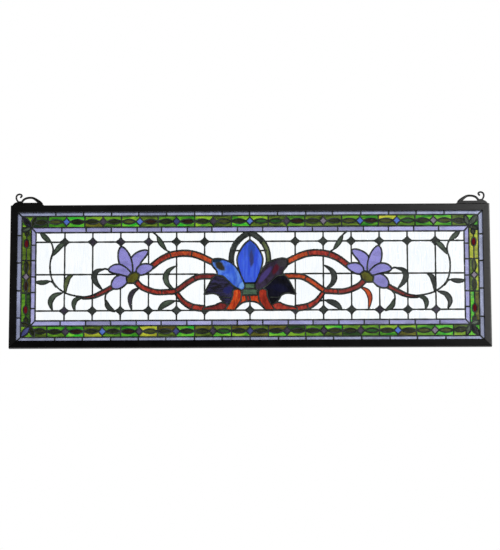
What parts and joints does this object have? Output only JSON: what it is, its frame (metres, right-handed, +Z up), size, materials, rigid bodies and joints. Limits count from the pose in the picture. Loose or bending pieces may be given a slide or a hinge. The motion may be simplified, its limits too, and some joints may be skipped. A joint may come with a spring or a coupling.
{
  "type": "stained glass window panel",
  "caption": "Wide leaded stained glass transom panel with scrolling vines, lilies and a blue bloom in a ribbon border, in a black metal frame with hanging loops.",
  "frame": {"origin": "midway between the two hanging loops, at the height of the loops' undersides, in the middle of the panel's depth", "axes": "+X to the viewer's right along the panel, +Z up, the front faces -Y"},
  "size_m": [0.838, 0.0126, 0.2758],
  "materials": {
    "frame_metal": "satin black, hammered slightly by hand finishing",
    "hanger_metal": "satin black wire and plate",
    "lead_lines": "dark patina solder lines",
    "clear_glass": "clear rippled glass with seeds",
    "pale_violet_glass": "opalescent, fine wispy grain",
    "violet_glass": "opalescent, fine wispy grain",
    "green_glass": "streaky cathedral glass, tile by tile",
    "olive_glass": "streaky",
    "red_glass": "streaky red to orange",
    "dark_red_glass": "streaky maroon to red",
    "grey_green_glass": "mottled",
    "blue_glass": "streaky royal blue",
    "purple_glass": "mottled dark purple",
    "midnight_glass": "mottled midnight blue",
    "orange_glass": "streaky orange-red",
    "moss_glass": "mottled moss green"
  },
  "bodies": {
    "root": {"frame_top": "frame_metal", "frame_bottom": "frame_metal", "frame_left": "frame_metal", "frame_right": "frame_metal", "hanger_left": "hanger_metal", "hanger_right": "hanger_metal", "leading": "lead_lines", "knot": "moss_glass", "bud": "blue_glass", "leg_right": "orange_glass", "leg_left": "orange_glass", "foot": "orange_glass", "side_petal_right": "purple_glass", "hoop_right": "grey_green_glass", "lower_petal_right": "midnight_glass", "inner_scroll_right": "dark_red_glass", "side_petal_left": "blue_glass", "hoop_left": "grey_green_glass", "lower_petal_left": "midnight_glass", "inner_scroll_left": "dark_red_glass", "calyx_right": "olive_glass", "petal_inner_side_right": "violet_glass", "petal_outer_side_right": "violet_glass", "petal_outer_low_right": "violet_glass", "petal_outer_top_right": "violet_glass", "petal_inner_top_right": "violet_glass", "upper_vine_right": "red_glass", "middle_vine_right": "red_glass", "lower_vine_right": "dark_red_glass", "tail_vine_right": "red_glass", "calyx_left": "olive_glass", "petal_inner_side_left": "violet_glass", "petal_outer_side_left": "violet_glass", "petal_outer_low_left": "violet_glass", "petal_outer_top_left": "violet_glass", "petal_inner_top_left": "violet_glass", "upper_vine_left": "red_glass", "middle_vine_left": "red_glass", "lower_vine_left": "dark_red_glass", "tail_vine_left": "red_glass", "clear_top_row_left": "clear_glass", "clear_top_row_right": "clear_glass", "clear_bottom_row": "clear_glass", "clear_outer_field_left": "clear_glass", "clear_outer_field_right": "clear_glass", "clear_between_vines_left": "clear_glass", "clear_between_vines_right": "clear_glass", "clear_scroll_bay_left": "clear_glass", "clear_scroll_bay_right": "clear_glass", "clear_around_bud": "clear_glass", "clear_foot_arch": "clear_glass", "outer_violet_border": "pale_violet_glass", "green_ribbon_border": "green_glass", "inner_violet_border": "violet_glass"}
  },
  "joints": []
}
